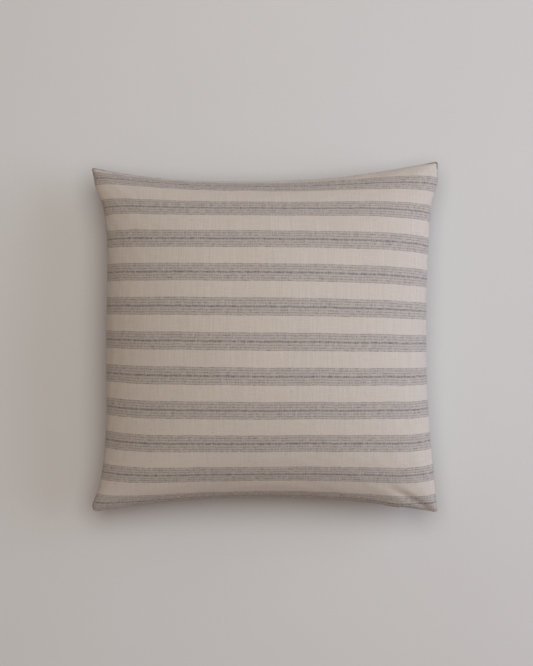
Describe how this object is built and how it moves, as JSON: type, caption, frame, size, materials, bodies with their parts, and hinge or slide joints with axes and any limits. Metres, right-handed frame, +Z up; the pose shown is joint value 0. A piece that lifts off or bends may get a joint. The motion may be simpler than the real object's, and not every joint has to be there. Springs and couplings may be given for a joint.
{
  "type": "throw pillow",
  "caption": "Square knife-edge throw pillow: striped linen cover with a concealed zip in one seam, over a removable stuffed insert.",
  "frame": {"origin": "centre of the pillow's outline, on the flat of the underside that it lies on", "axes": "+Z up through the striped front, out of the surface it lies on; +X along the stripes; +Y from the zip seam to the opposite seam"},
  "size_m": [0.49, 0.49, 0.152],
  "materials": {
    "striped_linen": "matte",
    "ticking": "matte",
    "sewing_thread": "matte",
    "white_thread": "matte",
    "zip_tape": "matte",
    "zip_coil": "satin",
    "zip_metal": "satin",
    "label_ribbon": "satin",
    "fibre_fill": "matte"
  },
  "bodies": {
    "cushion": {"front_panel": "striped_linen", "back_panel": "striped_linen", "seam_thread": "sewing_thread", "overlock_thread": "sewing_thread", "care_label": "label_ribbon", "zip_tape_front": "zip_tape", "zip_tape_back": "zip_tape", "zip_coil_front": "zip_coil", "zip_coil_back": "zip_coil", "zip_top_stop": "zip_metal", "zip_bottom_stop": "zip_metal", "zip_stitching": "sewing_thread", "zip_bartacks": "sewing_thread", "insert_front": "ticking", "insert_back": "ticking", "insert_seam_thread": "white_thread", "insert_closing_stitch": "white_thread", "insert_label": "label_ribbon", "fill": "fibre_fill"},
    "slider": {"zip_slider": "zip_metal"},
    "pull": {"zip_pull": "zip_metal"}
  },
  "joints": [
    {"name": "zip_run", "type": "hinge", "parent": "cushion", "child": "slider", "pos_m": [0, -1.59821, 0.06], "axis": [0, 0, 1], "range_deg": [0, 15.81]},
    {"name": "pull_swing", "type": "hinge", "parent": "slider", "child": "pull", "pos_m": [0.18894, -0.23776, 0.06], "axis": [0, 0, 1], "range_deg": [0, 180]}
  ]
}
